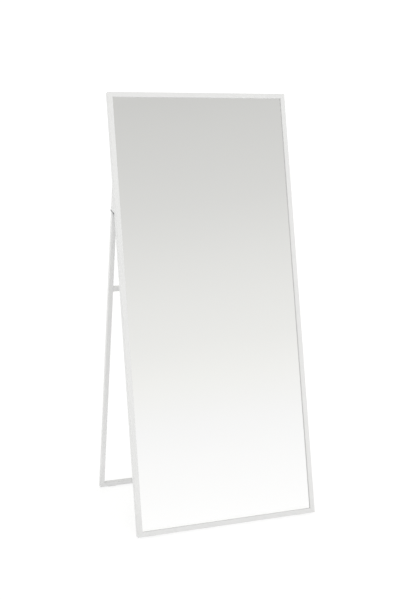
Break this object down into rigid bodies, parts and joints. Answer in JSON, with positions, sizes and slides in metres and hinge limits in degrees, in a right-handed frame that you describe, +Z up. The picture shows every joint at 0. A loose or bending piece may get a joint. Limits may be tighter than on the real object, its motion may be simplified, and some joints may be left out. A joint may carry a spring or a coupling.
{
  "type": "floor mirror",
  "caption": "Full-length rectangular floor mirror in a slim square-edged frame, leaning on its lower edge and on a hinged rear stand that folds flat.",
  "frame": {"origin": "on the floor, at the middle of the object's box, with the stand open", "axes": "+Z up, -Y the way the glass faces, +X to the right as seen from the front"},
  "size_m": [0.805, 0.6472, 1.8032],
  "materials": {
    "frame_white": "matt white powder coat, fine texture",
    "stand_white": "matt white powder coat over welded tube",
    "mirror": "polished silvered float glass",
    "foam": "closed-cell foam, matt",
    "board": "hardboard with a pale grey coat",
    "key_aluminium": "mill finish",
    "clip_steel": "bright zinc plate",
    "screw_zinc": "zinc plate",
    "hinge_steel": "dark burnished steel",
    "insert_steel": "plain steel",
    "pad_rubber": "pale grey rubber, matt"
  },
  "bodies": {
    "mirror_frame": {"top_rail": "frame_white", "bottom_rail": "frame_white", "left_stile": "frame_white", "right_stile": "frame_white", "corner_keys": "key_aluminium", "corner_key_screws": "screw_zinc", "mirror_glass": "mirror", "foam_sheet": "foam", "backing_board": "board", "retaining_clips": "clip_steel", "retaining_clip_screws": "screw_zinc", "hinge_bracket_left": "stand_white", "hinge_bracket_right": "stand_white", "bracket_screws": "screw_zinc", "hinge_fixed_leaf_left": "hinge_steel", "hinge_fixed_leaf_right": "hinge_steel", "hinge_pin_left": "hinge_steel", "hinge_pin_right": "hinge_steel", "fixed_leaf_screws": "screw_zinc", "frame_floor_pads": "pad_rubber"},
    "stand": {"hinge_moving_leaf_left": "hinge_steel", "hinge_moving_leaf_right": "hinge_steel", "moving_leaf_screws": "screw_zinc", "leg_insert_left": "insert_steel", "leg_insert_right": "insert_steel", "left_leg": "stand_white", "right_leg": "stand_white", "stand_crossbar": "stand_white", "upper_rail": "stand_white", "stand_floor_pads": "pad_rubber"}
  },
  "joints": [
    {"name": "stand_fold", "type": "hinge", "parent": "mirror_frame", "child": "stand", "pos_m": [0, -0.01542, 1.30609], "axis": [-1, 0, 0], "range_deg": [0, 25.8]}
  ]
}
